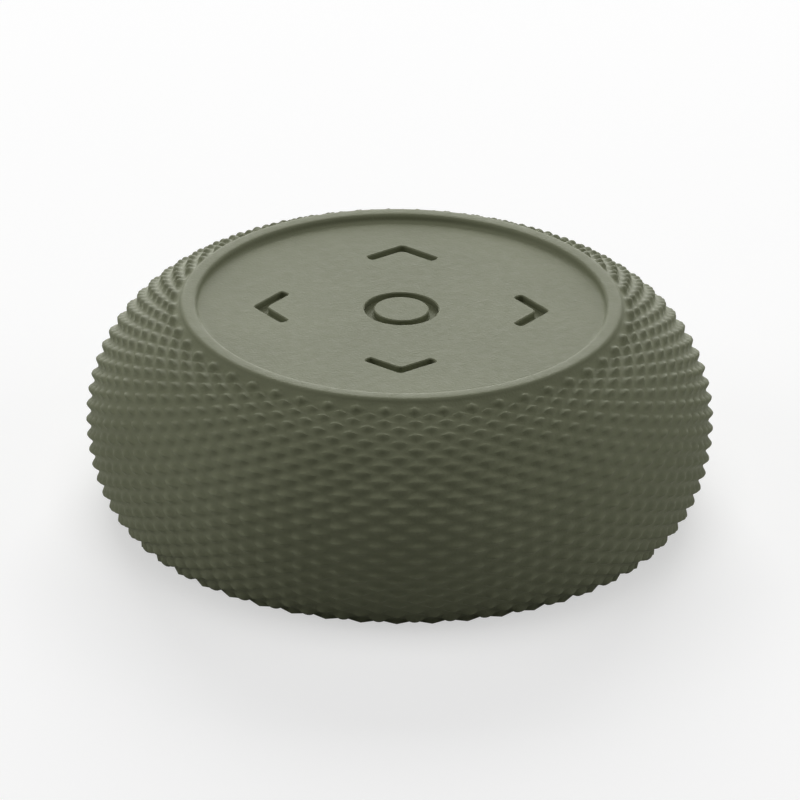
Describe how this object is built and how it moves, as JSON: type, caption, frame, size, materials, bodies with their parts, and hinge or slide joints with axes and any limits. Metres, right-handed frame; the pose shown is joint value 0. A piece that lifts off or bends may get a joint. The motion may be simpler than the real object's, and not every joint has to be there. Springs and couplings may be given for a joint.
{
  "type": "controller thumb grip",
  "caption": "Soft round stretch-on thumb grip cap with a diamond-knurled side, a recessed flat thumb pad with small direction marks, and a lipped cavity underneath.",
  "frame": {"origin": "centre of the flat base ring, at its lowest plane", "axes": "+Z along the cap's axis, out of the thumb pad; +X and +Y point at two of the four carets sunk into the pad"},
  "size_m": [0.022, 0.022, 0.0076],
  "materials": {
    "silicone": "matte moulded silicone, olive green"
  },
  "bodies": {
    "root": {"thumb_grip": "silicone"}
  },
  "joints": []
}
